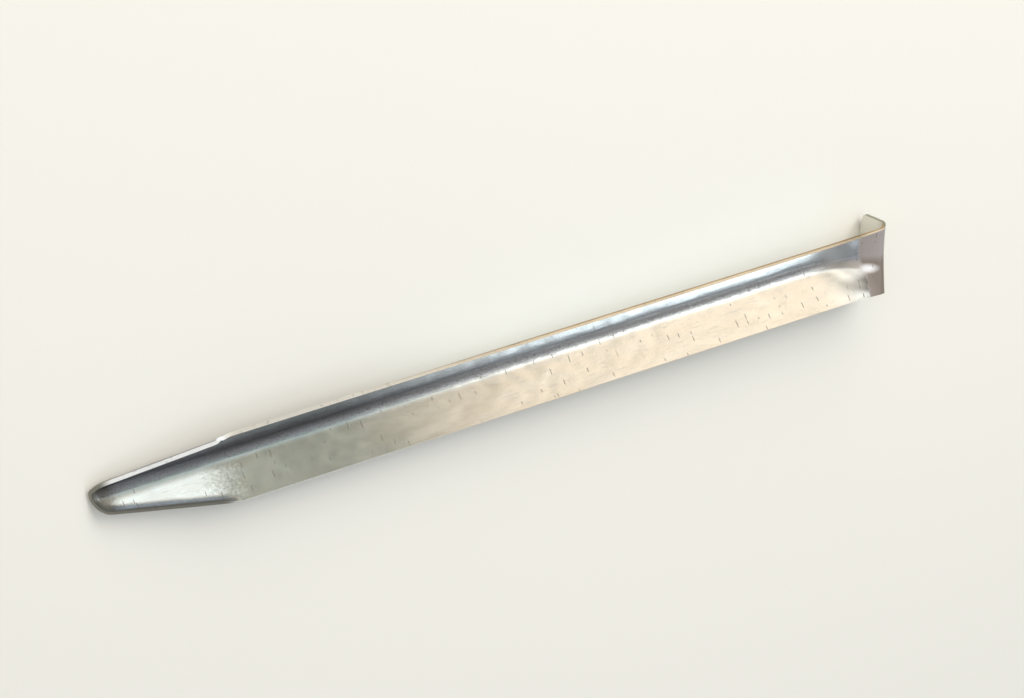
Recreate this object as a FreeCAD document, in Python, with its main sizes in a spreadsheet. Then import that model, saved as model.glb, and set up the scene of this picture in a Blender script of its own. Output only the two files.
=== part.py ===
"""Pressed steel tent stake: one folded sheet, a V-section spike with a hook at its head.

It is drawn in its own axes: X runs from the nose (0) to the strike face, Y goes across
the trough, and Z = 0 is the plane of the two inner flange edges, with the trough open
towards +Z and the hook folded towards -Z. The body's Placement then lays it down.
"""
import FreeCAD, Part
import math
import os
import Sketcher
from FreeCAD import Placement, Rotation, Vector

NODE = "stake"

DIMENSIONS = {
    "overall": 230.0,           # nose to strike face
    "gauge": 1.0,               # sheet thickness
    "width": 21.0,              # over the outer flange edges
    "half_angle": 47.0,         # each flange to the middle plane of the V, degrees
    "valley_radius": 3.1,       # inside of the V
    "taper_length": 36.5,       # nose to where the flanges reach their full width
    "nose_radius": 4.6,
    "head_length": 26.0,        # over which the V opens out towards the hook
    "hollow": 0.16,             # share of the V's depth that is left where the fold starts
    "fold_radius": 3.0,         # outside of the hook's fold
    "hook_width": 23.0,         # over the hook's shoulders, which stand past the flanges
    "shoulder_drop": 0.9,       # flange edges to the shoulders' tops
    "hook_end": 19.4,           # between the hook's lower corners
    "hook_side": 11.6,          # flange edges to the hook's lower corners
    "hook_drop": 13.7,          # flange edges to the flat in the middle of the hook's arched end
    "hook_flat": 6.0,           # length of that flat, which the stake rests on
    "hook_corner": 1.2,         # radius of the hook's lower corners
    "shoulder_corner": 0.8,     # radius of its shoulders
}
HEAD_STEPS = 5                  # sections along the head, after the plain V
FOLD_STEPS = 6                  # sections round the quarter turn of the fold
MARGIN = 5.0                    # how far a cutting outline reaches past the sheet
LEVEL = -1                      # Sketcher's own horizontal axis
MIDDLE = -2                     # Sketcher's own vertical axis
START, END, CENTRE = 1, 2, 3    # Sketcher's names for the points of a line or an arc


def dimension_sheet(doc):
    """The driving dimensions, one named cell each."""
    sheet = doc.addObject("Spreadsheet::Sheet", "Dimensions")
    for row, (name, value) in enumerate(DIMENSIONS.items(), start=1):
        sheet.set("A%d" % row, name)
        sheet.set("B%d" % row, str(value))
        sheet.setAlias("B%d" % row, name)
    doc.recompute()


def add_sketch(body, name, role, offset=Placement()):
    """A sketch on one of the body's origin planes."""
    plane = next(each for each in body.Origin.OriginFeatures if each.Role == role)
    sketch = body.newObject("Sketcher::SketchObject", name)
    sketch.AttachmentSupport = [(plane, "")]
    sketch.MapMode = "FlatFace"
    sketch.AttachmentOffset = offset
    return sketch


def drive(sketch, label, expression, kind, *where):
    """A dimension of the sketch, bound to the sheet of driving dimensions."""
    index = sketch.addConstraint(Sketcher.Constraint(kind, *where))
    sketch.renameConstraint(index, label)
    sketch.setExpression("Constraints." + label, expression)


def relate(sketch, *relations):
    """Geometric constraints of the sketch, each a kind and the points or edges it joins."""
    for relation in relations:
        sketch.addConstraint(Sketcher.Constraint(*relation))


def share_after(step):
    """The share of the V's depth left at one step along the head: most of it goes near the end.

    Returned as a number and as the expression that gives it from the sheet.
    """
    eased = (step / HEAD_STEPS) ** 3
    number = 1 - (1 - DIMENSIONS["hollow"]) * eased
    return number, "(1 - (1 - Dimensions.hollow) * %.6f)" % eased


def share_round(turn):
    """The share of the V's depth left after part of the fold's quarter turn, falling evenly."""
    left = 1 - turn
    return DIMENSIONS["hollow"] * left, "(Dimensions.hollow * %.6f)" % left


def bent_section(body, name, share, offset=Placement()):
    """The bent sheet in section: two flanges, the valley's two arcs and the cut edges.

    A share of 1 is the plain V. A smaller share opens the flanges and widens the valley.
    """
    left, expression = share
    gauge = DIMENSIONS["gauge"]
    angle = math.atan(math.tan(math.radians(DIMENSIONS["half_angle"])) / left)
    radius = DIMENSIONS["valley_radius"] / left
    sine, cosine = math.sin(angle), math.cos(angle)
    outer_y = DIMENSIONS["width"] / 2
    inner_y = outer_y - gauge * cosine
    apex_z = -inner_y / math.tan(angle)
    centre = Vector(0, apex_z + radius / sine, 0)

    def on_valley(side, arc_radius):
        return centre + Vector(side * cosine, -sine, 0) * arc_radius

    inner = [Vector(side * inner_y, 0, 0) for side in (-1, 1)]
    outer = [Vector(side * outer_y, -gauge * sine, 0) for side in (-1, 1)]
    sketch = add_sketch(body, name, "YZ_Plane", offset)
    swing = math.pi / 2 - angle
    base = -math.pi / 2

    def valley(arc_radius):
        circle = Part.Circle(centre, Vector(0, 0, 1), arc_radius)
        return Part.ArcOfCircle(circle, base - swing, base + swing)

    sketch.addGeometry([
        Part.LineSegment(inner[0], on_valley(-1, radius)),
        valley(radius),
        Part.LineSegment(on_valley(1, radius), inner[1]),
        Part.LineSegment(inner[1], outer[1]),
        Part.LineSegment(outer[1], on_valley(1, radius + gauge)),
        valley(radius + gauge),
        Part.LineSegment(on_valley(-1, radius + gauge), outer[0]),
        Part.LineSegment(outer[0], inner[0]),
    ])
    relate(
        sketch,
        ("Tangent", 0, END, 1, START), ("Tangent", 1, END, 2, START),
        ("Coincident", 2, END, 3, START), ("Coincident", 3, END, 4, START),
        ("Tangent", 4, END, 5, END), ("Tangent", 5, START, 6, START),
        ("Coincident", 6, END, 7, START), ("Coincident", 7, END, 0, START),
        ("Coincident", 5, CENTRE, 1, CENTRE), ("PointOnObject", 1, CENTRE, MIDDLE),
        ("PointOnObject", 0, START, LEVEL), ("Symmetric", 0, START, 2, END, MIDDLE),
        ("Symmetric", 6, END, 3, END, MIDDLE), ("Perpendicular", 3, 2), ("Parallel", 4, 2),
    )
    drive(sketch, "half_width", "Dimensions.width / 2", "DistanceX", LEVEL, START, 3, END, outer_y)
    drive(sketch, "gauge", "Dimensions.gauge", "Distance", 3, gauge)
    drive(sketch, "flange_slope", "90deg - atan(tan(Dimensions.half_angle * 1deg) / %s)" % expression,
          "Angle", 2, swing)
    drive(sketch, "valley_radius", "Dimensions.valley_radius / %s" % expression, "Radius", 1, radius)
    return sketch


def flat_section(body, name, offset):
    """The sheet once it is flat, in as many edges as the bent section has."""
    gauge = DIMENSIONS["gauge"]
    half_width = DIMENSIONS["width"] / 2
    middle = half_width / 2
    top = [Vector(y, 0, 0) for y in (-half_width, -middle, middle, half_width)]
    below = [Vector(y, -gauge, 0) for y in (half_width, middle, -middle, -half_width)]
    corners = top + below
    sketch = add_sketch(body, name, "YZ_Plane", offset)
    sketch.addGeometry([
        Part.LineSegment(here, there) for here, there in zip(corners, corners[1:] + corners[:1])
    ])
    relate(sketch, *[("Coincident", i, END, (i + 1) % 8, START) for i in range(8)])
    relate(
        sketch,
        ("Symmetric", 0, START, 2, END, MIDDLE), ("Symmetric", 1, START, 1, END, MIDDLE),
        ("Symmetric", 6, END, 4, START, MIDDLE), ("Symmetric", 5, END, 5, START, MIDDLE),
        ("PointOnObject", 0, START, LEVEL), ("PointOnObject", 1, START, LEVEL),
        ("Vertical", 3), ("Horizontal", 4), ("Vertical", 1, START, 5, END),
    )
    drive(sketch, "half_width", "Dimensions.width / 2", "DistanceX", LEVEL, START, 2, END, half_width)
    drive(sketch, "half_middle", "Dimensions.width / 4", "DistanceX", LEVEL, START, 1, END, middle)
    drive(sketch, "gauge", "Dimensions.gauge", "DistanceY", 3, END, 3, START, gauge)
    return sketch


def place_along(sketch, expression):
    """Moves a section to its place along the stake, counted from the nose."""
    sketch.setExpression("AttachmentOffset.Base.z", expression)


def place_round(sketch, turn):
    """Moves a section to its place round the fold, whose axis lies below the flange edges."""
    angle = 90 * turn
    sketch.setExpression(
        "AttachmentOffset.Base.z",
        "Dimensions.overall - Dimensions.fold_radius * (1 - sin(%gdeg))" % angle)
    sketch.setExpression(
        "AttachmentOffset.Base.y", "-Dimensions.fold_radius * (1 - cos(%gdeg))" % angle)


def trough(body):
    """The plain V from the nose to where the head begins."""
    section = bent_section(body, "trough_section", share_after(0))
    pad = body.newObject("PartDesign::Pad", "trough")
    pad.Profile = section
    pad.setExpression(
        "Length", "Dimensions.overall - Dimensions.fold_radius - Dimensions.head_length")
    return pad


def loft(body, name, sections, ruled):
    """A solid through the sections, straight from each to the next where it is ruled."""
    solid = body.newObject("PartDesign::AdditiveLoft", name)
    solid.Profile = sections[0]
    solid.Sections = sections[1:]
    solid.Ruled = ruled
    return solid


def head(body):
    """The V opening out towards the fold."""
    sections = []
    for step in range(HEAD_STEPS + 1):
        section = bent_section(body, "head_section_%d" % step, share_after(step))
        place_along(section, "Dimensions.overall - Dimensions.fold_radius"
                             " - Dimensions.head_length * %g" % (1 - step / HEAD_STEPS))
        sections.append(section)
    return loft(body, "head", sections, ruled=False)


def fold(body):
    """The quarter turn that takes the sheet down into the hook, flat by its end."""
    sections = []
    for step in range(FOLD_STEPS + 1):
        turn = step / FOLD_STEPS
        tilt = Placement(Vector(), Rotation(Vector(1, 0, 0), 90 * turn))
        if turn < 1:
            section = bent_section(body, "fold_section_%d" % step, share_round(turn), tilt)
        else:
            section = flat_section(body, "fold_section_%d" % step, tilt)
        place_round(section, turn)
        sections.append(section)
    return loft(body, "fold", sections, ruled=True)


def hook(body):
    """The flat hook: shoulders just past the flanges, sides that draw in, and an arched free edge
    with a short flat in its middle."""
    size = DIMENSIONS
    half_width, half_end, shoulder = size["width"] / 2, size["hook_end"] / 2, size["hook_width"] / 2
    fold_end, shoulder_drop = size["fold_radius"], size["shoulder_drop"]
    side, drop = size["hook_side"], size["hook_drop"]
    half_flat = size["hook_flat"] / 2
    centre_z = (half_end ** 2 - half_flat ** 2 + side ** 2 - drop ** 2) / (2 * (drop - side))
    arch = math.hypot(half_flat, centre_z + drop)
    reach, flat_reach = math.asin(half_end / arch), math.asin(half_flat / arch)
    circle = Part.Circle(Vector(0, centre_z, 0), Vector(0, 0, 1), arch)
    base = -math.pi / 2
    far = [Vector(half_width, -fold_end, 0), Vector(half_width, -shoulder_drop, 0),
           Vector(shoulder, -shoulder_drop, 0), Vector(half_end, -side, 0)]
    near = [Vector(-corner.x, corner.y, 0) for corner in far]
    sketch = add_sketch(body, "hook_outline", "YZ_Plane")
    sketch.addGeometry(
        [Part.LineSegment(near[0], far[0])]
        + [Part.LineSegment(here, there) for here, there in zip(far, far[1:])]
        + [Part.ArcOfCircle(circle, base + flat_reach, base + reach),
           Part.LineSegment(Vector(half_flat, -drop, 0), Vector(-half_flat, -drop, 0)),
           Part.ArcOfCircle(circle, base - reach, base - flat_reach)]
        + [Part.LineSegment(here, there) for here, there in zip(near[:0:-1], near[-2::-1])])
    relate(
        sketch,
        ("Coincident", 0, END, 1, START), ("Coincident", 1, END, 2, START),
        ("Coincident", 2, END, 3, START), ("Coincident", 3, END, 4, END),
        ("Coincident", 4, START, 5, START), ("Coincident", 5, END, 6, END),
        ("Coincident", 6, START, 7, START), ("Coincident", 7, END, 8, START),
        ("Coincident", 8, END, 9, START), ("Coincident", 9, END, 0, START),
        ("Symmetric", 0, START, 0, END, MIDDLE), ("Symmetric", 2, END, 7, END, MIDDLE),
        ("Symmetric", 3, END, 6, START, MIDDLE), ("Symmetric", 5, START, 5, END, MIDDLE),
        ("Coincident", 4, CENTRE, 6, CENTRE),
        ("Vertical", 1), ("Horizontal", 2), ("Horizontal", 8), ("Vertical", 9),
    )
    drive(sketch, "half_width", "Dimensions.width / 2", "DistanceX", LEVEL, START, 0, END, half_width)
    drive(sketch, "fold_end", "Dimensions.fold_radius", "DistanceY", 0, END, LEVEL, START, fold_end)
    drive(sketch, "shoulder", "Dimensions.hook_width / 2",
          "DistanceX", LEVEL, START, 2, END, shoulder)
    drive(sketch, "shoulder_drop", "Dimensions.shoulder_drop",
          "DistanceY", 2, END, LEVEL, START, shoulder_drop)
    drive(sketch, "half_end", "Dimensions.hook_end / 2", "DistanceX", LEVEL, START, 3, END, half_end)
    drive(sketch, "side", "Dimensions.hook_side", "DistanceY", 3, END, LEVEL, START, side)
    drive(sketch, "drop", "Dimensions.hook_drop", "DistanceY", 5, START, LEVEL, START, drop)
    drive(sketch, "half_flat", "Dimensions.hook_flat / 2",
          "DistanceX", LEVEL, START, 5, START, half_flat)
    place_along(sketch, "Dimensions.overall - Dimensions.gauge")
    pad = body.newObject("PartDesign::Pad", "hook")
    pad.Profile = sketch
    pad.setExpression("Length", "Dimensions.gauge")
    body.Document.recompute()
    shoulders = rounded(body, pad, "shoulder_corners", "shoulder_corner", [far[2], near[2]])
    return rounded(body, shoulders, "hook_corners", "hook_corner", [far[3], near[3]])


def rounded(body, solid, name, dimension, corners):
    """Rounds the edges that run along X at the given places across the stake."""
    places = [Vector(0, corner.x, corner.y) for corner in corners]
    names = []
    for number, edge in enumerate(solid.Shape.Edges, start=1):
        ends = [Vector(0, vertex.Y, vertex.Z) for vertex in edge.Vertexes]
        if any(all((end - place).Length < 0.01 for end in ends) for place in places):
            names.append("Edge%d" % number)
    if len(names) != len(places):
        raise RuntimeError("%s: %d edges, not %d" % (name, len(names), len(places)))
    fillet = body.newObject("PartDesign::Fillet", name)
    fillet.Base = (solid, names)
    fillet.setExpression("Radius", "Dimensions." + dimension)
    body.Document.recompute()
    return fillet


def taper_slope():
    """The angle, seen from above, of the line that touches the nose and the full-width corner."""
    size = DIMENSIONS
    nose = size["nose_radius"]
    half_mouth = size["width"] / 2 - size["gauge"] * math.cos(math.radians(size["half_angle"]))
    run = size["taper_length"] - nose
    slope = math.atan2(half_mouth, run) - math.asin(nose / math.hypot(run, half_mouth))
    half_mouth_text = "(Dimensions.width / 2 - Dimensions.gauge * cos(Dimensions.half_angle * 1deg))"
    run_text = "(Dimensions.taper_length - Dimensions.nose_radius)"
    slope_text = ("atan(%s / %s) - asin(Dimensions.nose_radius / sqrt(%s ^ 2 + %s ^ 2))"
                  % (half_mouth_text, run_text, run_text, half_mouth_text))
    return slope, slope_text


def point(body):
    """Cuts the point out of the trough: two taper lines and the nose arc between them."""
    size = DIMENSIONS
    nose, half_width = size["nose_radius"], size["width"] / 2
    slope, slope_text = taper_slope()
    touch = Vector(nose * (1 - math.sin(slope)), nose * math.cos(slope), 0)
    mirrored = Vector(touch.x, -touch.y, 0)
    far_y = half_width + MARGIN
    far_x = touch.x + (far_y - touch.y) / math.tan(slope)
    corners = [mirrored, Vector(far_x, -far_y, 0), Vector(-MARGIN, -far_y, 0),
               Vector(-MARGIN, far_y, 0), Vector(far_x, far_y, 0)]
    circle = Part.Circle(Vector(nose, 0, 0), Vector(0, 0, 1), nose)
    spread = math.pi / 2 - slope
    sketch = add_sketch(body, "point_outline", "XY_Plane")
    sketch.addGeometry(
        [Part.ArcOfCircle(circle, math.pi - spread, math.pi + spread)]
        + [Part.LineSegment(here, there) for here, there in zip(corners, corners[1:])]
        + [Part.LineSegment(touch, corners[-1])])
    relate(
        sketch,
        ("Tangent", 0, END, 1, START), ("Coincident", 1, END, 2, START),
        ("Coincident", 2, END, 3, START), ("Coincident", 3, END, 4, START),
        ("Coincident", 4, END, 5, END), ("Tangent", 5, START, 0, START),
        ("Horizontal", 2), ("Vertical", 3), ("Horizontal", 4), ("PointOnObject", 0, CENTRE, LEVEL),
        ("Symmetric", 1, END, 4, END, LEVEL),
    )
    drive(sketch, "nose_radius", "Dimensions.nose_radius", "Radius", 0, nose)
    drive(sketch, "nose_centre", "Dimensions.nose_radius",
          "DistanceX", LEVEL, START, 0, CENTRE, nose)
    drive(sketch, "slope", slope_text, "Angle", 5, slope)
    drive(sketch, "reach", "Dimensions.width + %g" % (2 * MARGIN),
          "DistanceY", 3, START, 3, END, 2 * far_y)
    drive(sketch, "ahead", "%g" % MARGIN, "DistanceX", 3, START, LEVEL, START, MARGIN)
    pocket = body.newObject("PartDesign::Pocket", "point")
    pocket.Profile = sketch
    pocket.Type = "ThroughAll"
    pocket.Midplane = True
    return pocket


def laid_down(body):
    """Lays the stake on its nose and on the flat of the hook's end, with its trough upwards.

    The bottom of its bounding box ends up centred on the origin.
    """
    size = DIMENSIONS
    half_angle = math.radians(size["half_angle"])
    inner_y = size["width"] / 2 - size["gauge"] * math.cos(half_angle)
    centre_z = size["valley_radius"] / math.sin(half_angle) - inner_y / math.tan(half_angle)
    nose_bottom = Vector(0, 0, centre_z - size["valley_radius"] - size["gauge"])
    hook_end = Vector(size["overall"] - size["gauge"], 0, -size["hook_drop"])
    up = (hook_end - nose_bottom).cross(Vector(0, 1, 0)).normalize()
    along = (Vector(1, 0, 0) - up * up.x).normalize()
    turn = Rotation(along, up.cross(along), up, "ZXY").inverted()
    body.Placement = Placement(Vector(), turn)
    box = body.Shape.optimalBoundingBox()
    body.Placement = Placement(Vector(-box.Center.x, -box.Center.y, -box.ZMin), turn)


def check(doc, body):
    """Stops if any object failed, or if the body isn't one valid solid."""
    for each in doc.Objects:
        if "Invalid" in each.State or "Error" in each.State:
            raise RuntimeError("%s failed: %s" % (each.Label, each.State))
    shape = body.Shape
    if shape.isNull() or not shape.isValid() or len(shape.Solids) != 1:
        raise RuntimeError("%s is not one valid solid" % body.Label)


def main():
    doc = FreeCAD.newDocument("tent_stake")
    dimension_sheet(doc)
    body = doc.addObject("PartDesign::Body", NODE)
    body.Label = NODE
    for build in (trough, head, fold, hook):
        build(body)
        doc.recompute()
    uncut = body.Shape.Volume
    point(body)
    doc.recompute()
    if body.Shape.Volume >= uncut:
        raise RuntimeError("the point's outline cut nothing away")
    laid_down(body)
    doc.recompute()
    check(doc, body)
    os.makedirs("parts", exist_ok=True)
    body.Shape.exportStep("parts/%s.step" % NODE)
    box = body.Shape.optimalBoundingBox()
    print("%s: %.1f x %.1f x %.1f mm, %.2f cm3" % (
        NODE, box.XLength, box.YLength, box.ZLength, body.Shape.Volume / 1000))


main()
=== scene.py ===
"""The looks of a pressed, galvanised steel tent stake lying on a pale surface.

The sheet is built in its own axes, in millimetres: X from the nose to the strike face, Y across
the trough, Z = 0 at the inner flange edges, with the trough open towards +Z and the hook folded
towards -Z. It is then laid down as the CAD body is, in metres.
"""
import math

import bpy
from mathutils import Matrix, Vector, noise


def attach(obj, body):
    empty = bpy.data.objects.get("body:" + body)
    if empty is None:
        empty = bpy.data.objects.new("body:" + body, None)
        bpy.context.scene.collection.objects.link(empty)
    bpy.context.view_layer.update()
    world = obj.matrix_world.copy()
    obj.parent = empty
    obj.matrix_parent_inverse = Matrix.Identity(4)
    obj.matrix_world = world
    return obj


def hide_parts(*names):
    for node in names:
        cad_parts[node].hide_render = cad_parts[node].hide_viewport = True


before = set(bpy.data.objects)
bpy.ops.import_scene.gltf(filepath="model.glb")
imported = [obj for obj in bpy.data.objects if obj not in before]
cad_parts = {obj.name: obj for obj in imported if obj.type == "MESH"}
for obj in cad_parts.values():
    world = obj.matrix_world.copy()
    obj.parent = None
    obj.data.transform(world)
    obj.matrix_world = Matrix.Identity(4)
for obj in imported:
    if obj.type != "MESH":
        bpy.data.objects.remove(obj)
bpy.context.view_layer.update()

# The sheet, in millimetres and degrees
LENGTH = 230.0                  # nose to strike face
GAUGE = 1.0
WIDTH = 21.0                    # over the outer flange edges
HALF_ANGLE = math.radians(47)   # each flange to the middle plane of the V
VALLEY_RADIUS = 3.1
TAPER_LENGTH = 36.5
NOSE_RADIUS = 4.6
NOSE_SETBACK = 0.6              # room in front of the inner face for the turned-up rim
HEAD_LENGTH = 26.0
HOLLOW = 0.16                   # share of the V's depth left where the fold starts
FOLD_RADIUS = 3.0
HOOK_WIDTH = 23.0               # over the hook's shoulders
SHOULDER_DROP = 0.9
HOOK_END = 19.4
HOOK_SIDE = 11.6
HOOK_DROP = 13.7
HOOK_FLAT = 6.0                 # in the middle of the hook's arched end
HOOK_CORNER = 1.2
SHOULDER_FROM = 0.15            # the part of the fold over which the shoulders spread
SHOULDER_TO = 0.7

RIM_WIDTH = 1.7                 # of the turned-up rim round the point
RIM_LIFT = 0.7
RIM_FADE = 5.0                  # length over which the rim runs out at the taper's end
WAVE_HEIGHT = 0.055             # the sheet isn't perfectly flat
WAVE_LENGTH = 13.0
WAVE_STRETCH = 1.8              # how much shorter the waves are across the stake
RIPPLE = 3.1                    # how much finer the second, lower wave is
RIPPLE_SHIFT = Vector((7, 3, 0))
STILL_NOSE = 14.0               # the waves grow from nothing over this length behind the nose
STILL_HEAD = 12.0               # none of them this close to the strike face
HEAD_FADE = 20.0
NICK_AT = 33.5                  # a small nick in the far edge, from the nose
NICK_DEPTH = 0.3
NICK_REACH = 0.5
NICK_FROM = 0.86                # share of the half width where the nick starts
EDGE_ROUNDING = 0.22            # of the cut edges

# How the CAD body lies: nose down, then moved
PITCH = math.radians(1.1716)
LIES_AT = Vector((-115.198, 0, 9.01483))
MILLIMETRE = 0.001

# The point's plan in the scene's own X, still in millimetres
NOSE_CENTRE = LIES_AT.x + NOSE_RADIUS
KINK_AT = LIES_AT.x + TAPER_LENGTH + 0.7    # where the taper ends, on the outer edge
TAPER_SLOPE = 0.162                         # of the taper's edge, seen from above

# Where the steel's looks change along the scene's X, in millimetres: from and to
NOSE_END = (-112.5, -109.0)
TIP = (-111.5, -107.0)
# The painted bluish-white reflection on the near flange of the taper fades out here.
NEAR_TAPER_REFLECTION = (-90.0, -76.0)
SILVER_EDGE = (-85.0, -78.0)
WORN_EDGE = (-60.0, 20.0)
# Wear towards the point, partly painted darker reflections, fades out here.
WEAR_AND_DARK_REFLECTION = (-58.0, 4.0)
RIM_END = (KINK_AT - 6.0, KINK_AT)
CALM_VALLEY = (88.0, 104.0)
CORNER = (98.0, 107.0)
FOLD = (108.3, 109.3)
LAST_CRACKS = (112.0, 113.0)
HOOK_FACE = (113.0, 113.6)
HOOK_EDGE = (113.0, 113.8)

# The paint of the steel
# Painted reflections: one zinc, tinted beige on the near flange and blue on the far one.
NEAR_ZINC_REFLECTION_TINT = (0.84, 0.77, 0.665, 1)
FAR_ZINC_REFLECTION_TINT = (0.71, 0.83, 0.95, 1)
# Worn zinc towards the point, also painted darker as dimmer reflections.
NEAR_WORN_DARK_REFLECTION = (0.34, 0.37, 0.34, 1)
FAR_WORN_DARK_REFLECTION = (0.29, 0.28, 0.31, 1)
# The fold's matte zinc, painted darker on the near side as shade and lighter on the far side as light.
NEAR_FOLD_SHADED = (0.46, 0.385, 0.33, 1)
FAR_FOLD_LIT = (0.74, 0.68, 0.65, 1)
# Painted reflection: a bluish-white patch on the near flange of the taper.
NEAR_TAPER_REFLECTION_WHITE = (0.83, 0.94, 1.0, 1)
TARNISH = (0.55, 0.53, 0.50, 1)
VALLEY_GREY = (0.32, 0.31, 0.33, 1)
CRACKLE_DARK = (0.15, 0.14, 0.14, 1)
CORNER_SHADE = (0.30, 0.26, 0.21, 1)
TIP_BROWN = (0.17, 0.155, 0.135, 1)
RIM_OLIVE = (0.31, 0.305, 0.265, 1)
# A painted highlight: the white spot at the end of the valley.
TEARDROP_HIGHLIGHT_WHITE = (1.0, 1.0, 1.0, 1)
HOOK_OLIVE = (0.82, 0.80, 0.71, 1)
STREAK = (0.40, 0.37, 0.40, 1)
CRACK_BROWN = (0.18, 0.15, 0.12, 1)

# The two paints that make each line of the cut edge, and those that lie over them
WARM_CUT = ((1.0, 0.90, 0.74, 1), (0.86, 0.72, 0.54, 1))
SILVER_CUT = ((0.96, 0.97, 0.96, 1), (0.74, 0.74, 0.71, 1))
BURR_BROWN = (0.40, 0.26, 0.12, 1)
HOOK_CUT = (0.34, 0.33, 0.25, 1)
RIM_CUT = (0.22, 0.215, 0.18, 1)
CUT_SPOTS = (0.30, 0.26, 0.20, 1)

# The cracks in the zinc
CRACK_CELLS = (0.28, 0.3, 0.28)     # cells in a millimetre
CRACK_THINNESS = 5.9
CRACK_SHORTNESS = 5.0
CRACK_SLANT = 0.9

# The room and the lamps
ROOM_STRENGTH = 2.0
PANEL_STRENGTH = (1.38,) * 3
PANEL_WHITE = (0.76, 0.89, 1.0)
BLACK = (0.0, 0.0, 0.0)
WINDOW = {"at": (0.45, 0.85, 0.8), "size": 0.7, "power": 8.8, "colour": (1, 0.97, 0.92)}
LOW_WINDOW = {"at": (0.1, 1.2, 0.45), "size": 0.6, "power": 4.5, "colour": (1, 0.96, 0.9)}
FLOOR_TONES = ((0.79, 0.775, 0.715, 1), (0.82, 0.805, 0.745, 1))
FLOOR_HALF = 1.5

# The camera: what it looks at, from where, and how far it is turned about its own view
CAMERA_AIM = Vector((0.00289, 0.00201, 0))
CAMERA_AZIMUTH = math.radians(123.088)
CAMERA_ELEVATION = math.radians(51.6436)
CAMERA_DISTANCE = 0.53477
CAMERA_ROLL = math.radians(134.813)
CAMERA_LENS = 70.3
CAMERA_SENSOR = 36.0

# The mesh
COLUMNS = 64
POINT_ROWS = 84
TROUGH_ROWS = 300
HEAD_ROWS = 60
FOLD_ROWS = 16
HOOK_ROWS = 26
FRONT_ARC = math.radians(60)    # half of the nose arc that the first row of the mesh follows


def section_height(y, share):
    """Height of the inner face at y, for a V that keeps this share of its depth."""
    if share <= 0:
        return 0.0
    angle = math.atan(math.tan(HALF_ANGLE) / share)
    radius = VALLEY_RADIUS / share
    edge = mouth(share)
    if abs(y) > radius * math.cos(angle):
        return -(edge - abs(y)) / math.tan(angle)
    centre = -edge / math.tan(angle) + radius / math.sin(angle)
    return centre - math.sqrt(radius * radius - y * y)


def mouth(share):
    """Half the distance between the inner flange edges."""
    if share <= 0:
        return WIDTH / 2
    angle = math.atan(math.tan(HALF_ANGLE) / share)
    return WIDTH / 2 - GAUGE * math.cos(angle)


def arc(centre, radius, first, last, steps=24):
    """Points on a circle in the plane, from one angle to another."""
    angles = [first + (last - first) * step / steps for step in range(steps + 1)]
    return [centre + radius * Vector((math.cos(a), math.sin(a))) for a in angles]


def walk(points, share):
    """The point after a share of a polyline's length."""
    lengths = [(b - a).length for a, b in zip(points, points[1:])]
    left = share * sum(lengths)
    for (a, b), length in zip(zip(points, points[1:]), lengths):
        if left <= length:
            return a.lerp(b, left / length)
        left -= length
    return points[-1].copy()


def patch(first, last, side, rows):
    """Rows of points that fill a symmetric outline.

    first and last run from the middle to the +Y side, and side joins their outer ends.
    """
    result = []
    for row in range(rows + 1):
        v = row / rows
        edge = walk(side, v)
        straight = side[0].lerp(side[-1], v)
        line = []
        for column in range(COLUMNS + 1):
            u = 2 * column / COLUMNS - 1
            across = walk(first, abs(u)).lerp(walk(last, abs(u)), v)
            x = across.x + (edge.x - straight.x)
            y = across.y + abs(u) * (edge.y - straight.y)
            line.append(Vector((x, math.copysign(y, u))))
        result.append(line)
    return result


def point_rows():
    """The nose and the taper: the plan outline filled with points, then bent into the V."""
    edge = mouth(1)
    centre = Vector((NOSE_SETBACK + NOSE_RADIUS, 0))
    corner = Vector((TAPER_LENGTH, edge))
    reach = corner - centre
    slope = math.atan2(reach.y, reach.x) - math.asin(NOSE_RADIUS / reach.length)
    facing = Vector((-math.sin(slope), math.cos(slope)))
    heading = Vector((math.cos(slope), math.sin(slope)))
    front = arc(centre, NOSE_RADIUS, math.pi, math.pi - FRONT_ARC)
    flank = arc(centre, NOSE_RADIUS, math.pi - FRONT_ARC, math.pi / 2 + slope) + [corner]
    back = [Vector((TAPER_LENGTH, 0)), corner]
    rows = []
    for line in patch(front, back, flank, POINT_ROWS):
        bent = []
        for spot in line:
            folded = Vector((spot.x, abs(spot.y))) - centre
            if folded.dot(heading) > 0:
                inset = NOSE_RADIUS - folded.dot(facing)
            else:
                inset = NOSE_RADIUS - folded.length
            fade = smooth((TAPER_LENGTH - spot.x) / RIM_FADE)
            lift = RIM_LIFT * max(0.0, 1 - inset / RIM_WIDTH) ** 2 * fade
            bent.append(on_section(spot.x, spot.y, 1.0, lift))
        rows.append(bent)
    return rows


def smooth(t):
    """An S-curve from 0 to 1."""
    t = min(max(t, 0.0), 1.0)
    return t * t * (3 - 2 * t)


def on_section(x, y, share, lift=0.0):
    """A point of the inner face, raised off it by lift."""
    step = 0.01
    rise = (section_height(y + step, share) - section_height(y - step, share)) / (2 * step)
    normal = Vector((0, -rise, 1)).normalized()
    return Vector((x, y, section_height(y, share))) + normal * lift


def body_rows():
    """The plain trough and the head, up to where the fold starts."""
    start = TAPER_LENGTH
    head_start = LENGTH - FOLD_RADIUS - HEAD_LENGTH
    stations = [start + (head_start - start) * row / TROUGH_ROWS for row in range(1, TROUGH_ROWS + 1)]
    stations += [head_start + HEAD_LENGTH * row / HEAD_ROWS for row in range(1, HEAD_ROWS + 1)]
    rows = []
    for x in stations:
        share = 1 - (1 - HOLLOW) * max(0.0, (x - head_start) / HEAD_LENGTH) ** 3
        edge = mouth(share)
        rows.append([on_section(x, edge * (2 * column / COLUMNS - 1), share)
                     for column in range(COLUMNS + 1)])
    return rows


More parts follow.
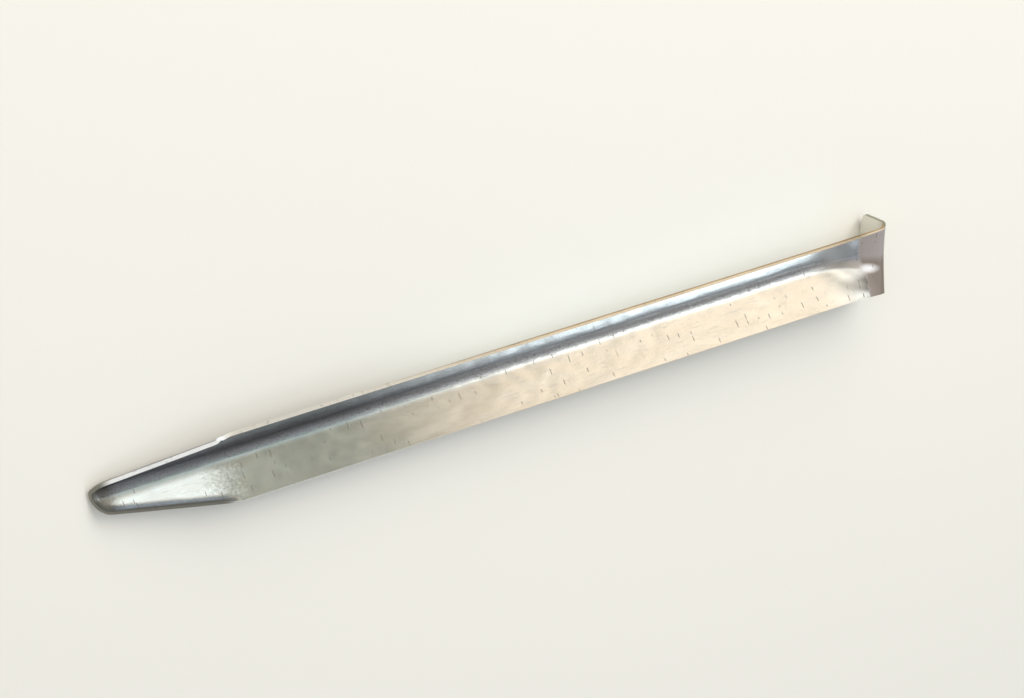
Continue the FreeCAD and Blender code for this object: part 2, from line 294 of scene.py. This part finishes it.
def fold_rows():
    """The quarter turn down into the hook, whose shoulders stand past the flanges."""
    rows = []
    for row in range(1, FOLD_ROWS + 1):
        turn = row / FOLD_ROWS
        share = HOLLOW * (1 - turn)
        sine, cosine = math.sin(turn * math.pi / 2), math.cos(turn * math.pi / 2)
        edge = mouth(share)
        spread = (hook_top() - edge) * smooth((turn - SHOULDER_FROM) / (SHOULDER_TO - SHOULDER_FROM))
        line = []
        for column in range(COLUMNS + 1):
            u = 2 * column / COLUMNS - 1
            height = section_height(edge * u, share)
            y = edge * u + math.copysign(spread * smooth(abs(u)), u)
            line.append(Vector((LENGTH - FOLD_RADIUS * (1 - sine) + height * sine, y,
                                -FOLD_RADIUS * (1 - cosine) + height * cosine)))
        rows.append(line)
    return rows


def hook_top():
    """Half the hook's width where the fold ends."""
    drawn_in = (HOOK_WIDTH - HOOK_END) / 2
    return HOOK_WIDTH / 2 - drawn_in * (FOLD_RADIUS - SHOULDER_DROP) / (HOOK_SIDE - SHOULDER_DROP)


def hook_rows():
    """The flat hook, filled in from the fold to its arched end, as (height, y) in its plane."""
    top = Vector((-FOLD_RADIUS, hook_top()))
    corner = Vector((-HOOK_SIDE, HOOK_END / 2))
    flat = HOOK_FLAT / 2
    rise = HOOK_DROP - HOOK_SIDE
    middle = Vector(((corner.y ** 2 - flat ** 2 + HOOK_SIDE ** 2 - HOOK_DROP ** 2) / (2 * rise), 0))
    arch = math.hypot(flat, middle.x + HOOK_DROP)
    heading = (corner - top).normalized()
    inward = Vector((-heading.y, heading.x))
    # The corner's centre is as far inside the side as it is inside the arch.
    base = top + inward * HOOK_CORNER - middle
    half = base.dot(heading)
    run = -half + math.sqrt(half ** 2 - base.dot(base) + (arch - HOOK_CORNER) ** 2)
    centre = middle + base + heading * run
    side_angle = math.atan2(-inward.y, -inward.x)
    arch_angle = math.atan2(centre.y - middle.y, centre.x - middle.x)
    middle_angle = (side_angle + arch_angle) / 2
    side = [top] + arc(centre, HOOK_CORNER, side_angle, middle_angle, 8)
    flat_angle = math.pi - math.asin(flat / arch)
    end = [Vector((-HOOK_DROP, 0))] + arc(middle, arch, flat_angle, arch_angle)
    end += arc(centre, HOOK_CORNER, arch_angle, middle_angle, 8)
    first = [Vector((-FOLD_RADIUS, 0)), top]
    rows = patch(first, end, side, HOOK_ROWS)
    return [[Vector((LENGTH, spot.y, spot.x)) for spot in line] for line in rows[1:]]


def normals(grid):
    """The inner face's normal at every point of the grid."""
    last_row, last_column = len(grid) - 1, COLUMNS
    result = []
    for i, line in enumerate(grid):
        before, after = grid[max(i - 1, 0)], grid[min(i + 1, last_row)]
        result.append([
            (after[j] - before[j]).cross(line[min(j + 1, last_column)] - line[max(j - 1, 0)])
            .normalized() for j in range(COLUMNS + 1)])
    # At the corners of the first row both directions run along the outline of the nose.
    for column in (0, 1, -1, -2):
        result[0][column] = result[2][column].copy()
    return result


def lay_down():
    """From the sheet's own axes, in millimetres, to how it lies, in metres."""
    turned = Matrix.Rotation(-PITCH, 4, "Y")
    return Matrix.Scale(MILLIMETRE, 4) @ Matrix.Translation(LIES_AT) @ turned


def unevenness(spot, u):
    """How far a point of the sheet stands off its true place, along its normal."""
    ends = smooth(spot.x / STILL_NOSE) * smooth((LENGTH - STILL_HEAD - spot.x) / HEAD_FADE)
    inside = 1 - abs(u) ** 6
    cell = Vector((spot.x / WAVE_LENGTH, WAVE_STRETCH * spot.y / WAVE_LENGTH, 0.0))
    wave = 2 * noise.noise(cell) + noise.noise(RIPPLE * cell + RIPPLE_SHIFT)
    nick = math.exp(-((spot.x - NICK_AT) / NICK_REACH) ** 2) * smooth((u - NICK_FROM) / (1 - NICK_FROM))
    return ends * inside * WAVE_HEIGHT * wave - NICK_DEPTH * nick


def sheet_mesh():
    """The closed sheet: inner face, outer face and the cut edge all round."""
    drawn = point_rows() + body_rows() + fold_rows() + hook_rows()
    inner = [[spot + normal * unevenness(spot, 2 * column / COLUMNS - 1)
              for column, (spot, normal) in enumerate(zip(line, along))]
             for line, along in zip(drawn, normals(drawn))]
    outer = [[spot - GAUGE * normal for spot, normal in zip(line, along)]
             for line, along in zip(inner, normals(inner))]
    rows, columns = len(inner), COLUMNS + 1
    count = rows * columns
    place = lay_down()
    vertices = [place @ spot for grid in (inner, outer) for line in grid for spot in line]
    faces = []
    for i in range(rows - 1):
        for j in range(columns - 1):
            a = i * columns + j
            b, c, d = a + 1, a + columns + 1, a + columns
            faces.append((a, d, c, b))
            faces.append((count + a, count + b, count + c, count + d))
    rim = list(range(columns))
    rim += [i * columns + columns - 1 for i in range(1, rows)]
    rim += [(rows - 1) * columns + j for j in range(columns - 2, -1, -1)]
    rim += [i * columns for i in range(rows - 2, 0, -1)]
    edge_faces = len(faces)
    for a, b in zip(rim, rim[1:] + rim[:1]):
        faces.append((a, b, count + b, count + a))
    mesh = bpy.data.meshes.new("sheet")
    mesh.from_pydata(vertices, [], faces)
    for index, polygon in enumerate(mesh.polygons):
        polygon.use_smooth = True
        polygon.material_index = 1 if index >= edge_faces else 0
    mesh.update()
    return mesh


def build_sheet(materials):
    """The sheet as an object, with its cut edges rounded."""
    piece = bpy.data.objects.new("pressed_sheet", sheet_mesh())
    bpy.context.collection.objects.link(piece)
    for material in materials:
        piece.data.materials.append(material)
    rounding = piece.modifiers.new("rounded_edges", "BEVEL")
    rounding.width = EDGE_ROUNDING * MILLIMETRE
    rounding.segments = 3
    rounding.limit_method = "ANGLE"
    rounding.angle_limit = math.radians(50)
    rounding.harden_normals = True
    return piece


class Nodes:
    """Short ways to add nodes to one node tree. Values may be numbers, colours or sockets."""

    def __init__(self, tree):
        self.tree = tree

    def add(self, kind, settings, values):
        """A node with its settings, and a value or a link for each input named."""
        node = self.tree.nodes.new("ShaderNode" + kind)
        for name, value in settings.items():
            setattr(node, name, value)
        for name, value in values.items():
            self.feed(node.inputs[name], value)
        return node

    def feed(self, socket, value):
        if isinstance(value, bpy.types.NodeSocket):
            self.tree.links.new(value, socket)
        else:
            socket.default_value = value

    def maths(self, operation, *values):
        return self.add("Math", {"operation": operation}, dict(enumerate(values))).outputs[0]

    def vector(self, operation, *values):
        return self.add("VectorMath", {"operation": operation}, dict(enumerate(values))).outputs[0]

    def split(self, vector):
        return self.add("SeparateXYZ", {}, {"Vector": vector}).outputs

    def stretch(self, vector, scale):
        """The coordinates, each multiplied by its own number."""
        return self.vector("MULTIPLY", vector, scale)

    def rise(self, value, low, high):
        """A smooth step from 0 at low to 1 at high."""
        settings = {"interpolation_type": "SMOOTHSTEP"}
        node = self.add("MapRange", settings, {"Value": value, "From Min": low, "From Max": high})
        return node.outputs["Result"]

    def fall(self, value, low, high):
        """A smooth step from 1 at low to 0 at high."""
        return self.rest(self.rise(value, low, high))

    def both(self, first, second):
        """The product of two shares."""
        return self.maths("MULTIPLY", first, second)

    def rest(self, share):
        """What a share leaves of the whole."""
        return self.maths("SUBTRACT", 1.0, share)

    def total(self, start, *terms):
        """A value plus some others, each with its own weight."""
        for value, weight in terms:
            start = self.maths("ADD", start, self.both(value, weight))
        return start

    def shaken(self, value, pattern, reach):
        """A value moved up and down by a noise pattern."""
        return self.total(value, (self.maths("SUBTRACT", pattern, 0.5), reach))

    def noise(self, vector, scale, detail=3.0, roughness=0.55):
        values = {"Vector": vector, "Scale": scale, "Detail": detail, "Roughness": roughness}
        return self.add("TexNoise", {}, values).outputs[0]

    def blend(self, factor, first, second, way="MIX"):
        """Two colours together, the second one as far as the factor says."""
        settings = {"data_type": "RGBA", "blend_type": way}
        return self.add("Mix", settings, {0: factor, 6: first, 7: second}).outputs[2]

    def ramp(self, factor, stops):
        """A colour that follows the factor through the stops, each a place and a colour."""
        node = self.add("ValToRGB", {}, {"Fac": factor})
        band = node.color_ramp
        band.interpolation = "EASE"
        while len(band.elements) < len(stops):
            band.elements.new(0.5)
        for element, (place, colour) in zip(band.elements, stops):
            element.position = place
            element.color = (*colour, 1)
        return node.outputs[0]


def new_material(name):
    """A material, its node helper and its shader."""
    material = bpy.data.materials.new(name)
    material.use_nodes = True
    return material, Nodes(material.node_tree), material.node_tree.nodes["Principled BSDF"]


def in_millimetres(nodes):
    """Places on the sheet: x from the middle of its length, y from the middle of the V."""
    where = nodes.add("TexCoord", {}, {}).outputs["Object"]
    return nodes.stretch(where, (1 / MILLIMETRE,) * 3)


def transverse_cracks(nodes, place):
    """Short fine cracks in the zinc, one at most in each cell, most of them across the stake."""
    small = nodes.stretch(place, CRACK_CELLS)
    cells = nodes.add("TexVoronoi", {}, {"Vector": small, "Scale": 1.0})
    x, y, _ = nodes.split(nodes.vector("SUBTRACT", small, cells.outputs["Position"]))
    chance, turn, length = nodes.add("SeparateColor", {}, {"Color": cells.outputs["Color"]}).outputs
    slant = nodes.both(nodes.maths("SUBTRACT", turn, 0.35), CRACK_SLANT)
    across = nodes.maths("ABSOLUTE", nodes.total(nodes.both(y, slant), (x, CRACK_THINNESS)))
    along = nodes.maths("ABSOLUTE", nodes.both(y, CRACK_SHORTNESS))
    along = nodes.maths("DIVIDE", along, nodes.total(0.35, (length, 1.1)))
    thin = nodes.fall(across, 0.07, 0.26)
    short = nodes.fall(along, 0.55, 1.0)
    there = nodes.rise(chance, 0.48, 0.56)
    return nodes.both(nodes.both(thin, short), there)


def distance(nodes, x, y, at_x, at_y):
    """How far a place is from a point, in plan."""
    along = nodes.maths("SUBTRACT", x, at_x)
    across = nodes.maths("SUBTRACT", y, at_y)
    return nodes.maths("SQRT", nodes.maths("ADD", nodes.both(along, along), nodes.both(across, across)))


def rim_band(nodes, x, y):
    """The turned-up rim round the nose and along the near side of the taper."""
    edge = nodes.total(WIDTH / 2, (nodes.maths("SUBTRACT", x, KINK_AT), TAPER_SLOPE))
    beyond = nodes.maths("SUBTRACT", nodes.both(y, -1.0), edge)
    taper = nodes.both(nodes.rise(beyond, -1.6, -1.2), nodes.fall(x, *RIM_END))
    from_centre = distance(nodes, x, y, NOSE_CENTRE, 0.0)
    round_nose = nodes.rise(from_centre, NOSE_RADIUS - 2.2, NOSE_RADIUS - 1.5)
    nose = nodes.both(round_nose, nodes.fall(x, NOSE_CENTRE - 0.5, NOSE_CENTRE + 0.5))
    return nodes.maths("MAXIMUM", taper, nose)


def galvanised_steel():
    """Bright zinc, painted with reflections: beige on the near flange, blue on the far one. Worn and
    painted darker towards the point, crackled in the valley, with fine cracks, painted shade and light
    on the fold and a painted highlight at the valley's end.
    """
    material, nodes, shader = new_material("galvanised_steel")
    place = in_millimetres(nodes)
    x, y, z = nodes.split(place)
    clouds = nodes.noise(nodes.stretch(place, (0.35, 1.0, 1.0)), 0.2, 5.0, 0.6)
    fine = nodes.noise(place, 1.3, 4.0, 0.65)
    grain = nodes.noise(nodes.stretch(place, (0.25, 3.0, 3.0)), 1.0, 3.0, 0.6)
    far = nodes.rise(y, -1.0, 2.5)

    # The valley, where the press crackled the zinc.
    off_middle = nodes.shaken(nodes.maths("ABSOLUTE", nodes.maths("SUBTRACT", y, 0.4)), fine, 1.2)
    valley = nodes.both(nodes.fall(off_middle, 0.7, 1.9), nodes.fall(x, *CALM_VALLEY))
    crazing = nodes.noise(nodes.stretch(place, (0.8, 1.6, 1.6)), 2.6, 2.0, 0.5)
    crackle = nodes.both(nodes.rise(crazing, 0.5, 0.62), valley)

    # Wear towards the point, with the reflections there painted darker too; a painted bluish-white
    # reflection on the near flange of the taper; and the dark tip.
    wear_and_dark_reflection = nodes.fall(nodes.shaken(x, clouds, 20.0), *WEAR_AND_DARK_REFLECTION)
    near_taper_reflection = nodes.both(nodes.fall(nodes.shaken(x, fine, 14.0), *NEAR_TAPER_REFLECTION), nodes.fall(y, -3.2, -1.6))
    tip = nodes.fall(nodes.shaken(x, fine, 4.0), *TIP)
    rim = rim_band(nodes, x, y)

    # The matte zinc of the fold, which reaches further back on the far side, painted with shade on the
    # near side and light on the far side, and in it a painted white highlight at the end of the valley.
    slanted = nodes.both(nodes.maths("MAXIMUM", nodes.maths("ADD", y, 3.0), 0.0), 0.3)
    matte = nodes.rise(nodes.shaken(nodes.maths("ADD", x, slanted), fine, 1.5), *FOLD)
    teardrop_highlight = nodes.fall(distance(nodes, nodes.both(x, 0.6), y, 65.8, -2.2), 0.2, 1.9)
    matte = nodes.both(matte, nodes.rest(teardrop_highlight))
    hook = nodes.both(nodes.rise(x, *HOOK_FACE), nodes.fall(z, 8.5, 12.0))
    corner = nodes.both(nodes.rise(nodes.shaken(x, clouds, 4.0), *CORNER), nodes.fall(y, -5.5, -3.5))
    cracks = nodes.both(transverse_cracks(nodes, place), nodes.fall(x, *LAST_CRACKS))

    # The same zinc is painted beige on the near side and blue on the far side as reflections; towards
    # the point it is worn and painted darker.
    colour = nodes.blend(wear_and_dark_reflection, nodes.blend(far, NEAR_ZINC_REFLECTION_TINT, FAR_ZINC_REFLECTION_TINT),
                         nodes.blend(far, NEAR_WORN_DARK_REFLECTION, FAR_WORN_DARK_REFLECTION))
    layers = (
        (near_taper_reflection, 1.0, NEAR_TAPER_REFLECTION_WHITE),
        (nodes.rise(clouds, 0.45, 0.66), 0.08, TARNISH),
        (valley, 0.6, VALLEY_GREY),
        (crackle, 0.6, CRACKLE_DARK),
        (corner, 0.75, CORNER_SHADE),
        (tip, 0.85, TIP_BROWN),
        (rim, 1.0, RIM_OLIVE),
        (matte, 1.0, nodes.blend(far, NEAR_FOLD_SHADED, FAR_FOLD_LIT)),
        (teardrop_highlight, 1.0, TEARDROP_HIGHLIGHT_WHITE),
        (hook, 1.0, HOOK_OLIVE),
        (nodes.rise(grain, 0.56, 0.7), 0.22, STREAK),
        (cracks, 0.6, CRACK_BROWN))
    for share, strength, paint in layers:
        colour = nodes.blend(nodes.both(share, strength), colour, paint)
    nodes.feed(shader.inputs["Base Color"], colour)

    rough = nodes.total(0.12, (clouds, 0.14), (valley, 0.14), (fine, 0.06), (matte, 0.4), (rim, 0.25))
    nodes.feed(shader.inputs["Roughness"], rough)
    milky = nodes.maths("MAXIMUM", teardrop_highlight, hook)
    nodes.feed(shader.inputs["Metallic"], nodes.total(0.92, (milky, -0.7)))

    relief = nodes.total(0.0, (fine, 0.35), (grain, 0.25), (crackle, -0.8), (cracks, -1.2))
    bump = nodes.add("Bump", {}, {"Strength": 0.5, "Distance": 0.00006, "Height": relief})
    nodes.feed(shader.inputs["Normal"], bump.outputs[0])
    return material


def cut_edge():
    """The sheared edge: warm, drawn into fine lines along the cut, and silver towards the point."""
    material, nodes, shader = new_material("cut_edge")
    place = in_millimetres(nodes)
    x, y, z = nodes.split(place)
    lines = nodes.noise(nodes.stretch(place, (0.15, 2.0, 2.0)), 1.4, 3.0, 0.6)
    spots = nodes.noise(place, 0.7, 3.0, 0.6)

    # The burr along the outer side of the cut, below the inner flange edges.
    edge_height = nodes.total(LIES_AT.z, (nodes.maths("SUBTRACT", x, LIES_AT.x), math.tan(PITCH)))
    burr = nodes.fall(nodes.maths("SUBTRACT", z, edge_height), -0.6, -0.4)
    near_taper = nodes.both(nodes.fall(y, -1.0, 0.0), nodes.fall(x, *RIM_END))
    rim = nodes.maths("MAXIMUM", near_taper, nodes.fall(x, *NOSE_END))

    warm = nodes.blend(nodes.both(burr, 0.8), nodes.blend(lines, *WARM_CUT), BURR_BROWN)
    colour = nodes.blend(nodes.rise(x, *WORN_EDGE), nodes.blend(lines, *SILVER_CUT), warm)
    colour = nodes.blend(nodes.rise(x, *HOOK_EDGE), colour, HOOK_CUT)
    colour = nodes.blend(rim, colour, RIM_CUT)
    colour = nodes.blend(nodes.both(nodes.rise(spots, 0.55, 0.7), 0.4), colour, CUT_SPOTS)
    nodes.feed(shader.inputs["Base Color"], colour)
    nodes.feed(shader.inputs["Roughness"], nodes.total(0.25, (lines, 0.2)))
    nodes.feed(shader.inputs["Metallic"], nodes.total(0.4, (nodes.rise(x, *SILVER_EDGE), 0.6)))
    bump = nodes.add("Bump", {}, {"Strength": 0.4, "Distance": 0.00005, "Height": lines})
    nodes.feed(shader.inputs["Normal"], bump.outputs[0])
    return material


def pale_surface():
    """A matte cream surface with a faint change of tone."""
    material, nodes, shader = new_material("pale_surface")
    where = nodes.add("TexCoord", {}, {}).outputs["Object"]
    tone = nodes.noise(where, 2.5, 2.0, 0.5)
    nodes.feed(shader.inputs["Base Color"], nodes.blend(tone, *FLOOR_TONES))
    shader.inputs["Roughness"].default_value = 0.8
    return material


def build_floor():
    """The surface that the stake lies on."""
    mesh = bpy.data.meshes.new("floor")
    half = FLOOR_HALF
    corners = [(-half, -half, 0), (half, -half, 0), (half, half, 0), (-half, half, 0)]
    mesh.from_pydata(corners, [], [(0, 1, 2, 3)])
    floor = bpy.data.objects.new("floor", mesh)
    bpy.context.collection.objects.link(floor)
    floor.data.materials.append(pale_surface())


def area_light(name, at, size, power, colour):
    """A round soft light that faces the origin and isn't mirrored in the steel."""
    lamp = bpy.data.lights.new(name, "AREA")
    lamp.shape = "DISK"
    lamp.size = size
    lamp.energy = power
    lamp.color = colour
    holder = bpy.data.objects.new(name, lamp)
    bpy.context.collection.objects.link(holder)
    holder.location = at
    holder.rotation_euler = (-Vector(at)).to_track_quat("-Z", "Y").to_euler()
    holder.visible_glossy = False


def greys(*stops):
    """The stops of a ramp without colour, each a place and a level."""
    return [(place, (level,) * 3) for place, level in stops]


def build_world():
    """The room that the steel mirrors, by direction.

    There are the walls, brightest on the +Y side, and a panel overhead. Each has one ramp round
    the stake's length, from -Y (0.25) over the top (0.5) to +Y (0.75), and another one along the
    stake, from -X (0) to +X (1).
    """
    world = bpy.data.worlds.new("room")
    bpy.context.scene.world = world
    world.use_nodes = True
    nodes = Nodes(world.node_tree)
    x, y, z = nodes.split(nodes.add("TexCoord", {}, {}).outputs["Generated"])
    turn = nodes.maths("ADD", nodes.maths("DIVIDE", nodes.maths("ARCTAN2", y, z), 2 * math.pi), 0.5)
    length = nodes.maths("ADD", nodes.maths("MULTIPLY", x, 0.5), 0.5)
    walls = nodes.ramp(turn, [
        (0.25, (0.38, 0.36, 0.33)), (0.36, (0.24, 0.23, 0.23)), (0.53, (0.26, 0.26, 0.27)),
        (0.565, (0.80, 0.86, 0.92)), (0.60, (0.84, 0.87, 0.88)), (0.645, (0.74, 0.68, 0.58)),
        (0.675, (0.60, 0.53, 0.44)), (0.71, (0.20, 0.19, 0.17)), (0.75, (0.14, 0.14, 0.12))])
    walls_along = nodes.ramp(length, greys(
        (0.0, 0.7), (0.30, 1.0), (0.50, 0.5), (0.55, 0.95), (0.585, 0.9), (0.61, 0.26), (0.63, 0.3),
        (0.665, 0.75), (0.707, 1.0), (0.728, 0.85), (0.755, 0.68), (0.80, 0.4), (1.0, 0.45)))
    panel = nodes.ramp(turn, [
        (0.405, BLACK), (0.45, PANEL_WHITE), (0.56, PANEL_WHITE), (0.60, BLACK)])
    panel_along = nodes.ramp(length, greys(
        (0.64, 0.0), (0.675, 0.6), (0.71, 1.0), (0.735, 0.9), (0.755, 0.3), (0.775, 0.05)))
    walls = nodes.blend(1.0, walls, walls_along, "MULTIPLY")
    panel = nodes.stretch(nodes.blend(1.0, panel, panel_along, "MULTIPLY"), PANEL_STRENGTH)
    colour = nodes.blend(1.0, walls, panel, "ADD")
    background = world.node_tree.nodes["Background"]
    nodes.feed(background.inputs["Color"], colour)
    background.inputs["Strength"].default_value = ROOM_STRENGTH


def build_camera():
    """The camera at the angle from which the stake was seen."""
    lens = bpy.data.cameras.new("camera")
    lens.sensor_width = CAMERA_SENSOR
    lens.lens = CAMERA_LENS
    lens.clip_start = 0.01
    camera = bpy.data.objects.new("camera", lens)
    bpy.context.collection.objects.link(camera)
    level = math.cos(CAMERA_ELEVATION)
    back = Vector((level * math.cos(CAMERA_AZIMUTH), level * math.sin(CAMERA_AZIMUTH),
                   math.sin(CAMERA_ELEVATION)))
    side = Vector((0, 0, 1)).cross(back).normalized()
    right = Matrix.Rotation(CAMERA_ROLL, 3, back) @ side
    turn = Matrix((right, back.cross(right), back)).transposed().to_4x4()
    camera.matrix_world = Matrix.Translation(CAMERA_AIM + back * CAMERA_DISTANCE) @ turn
    bpy.context.scene.camera = camera


sheet = build_sheet([galvanised_steel(), cut_edge()])
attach(sheet, "root")
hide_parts("stake")
build_floor()
build_world()
area_light("window", **WINDOW)
area_light("low_window", **LOW_WINDOW)
build_camera()
bpy.context.scene.view_settings.view_transform = "Standard"
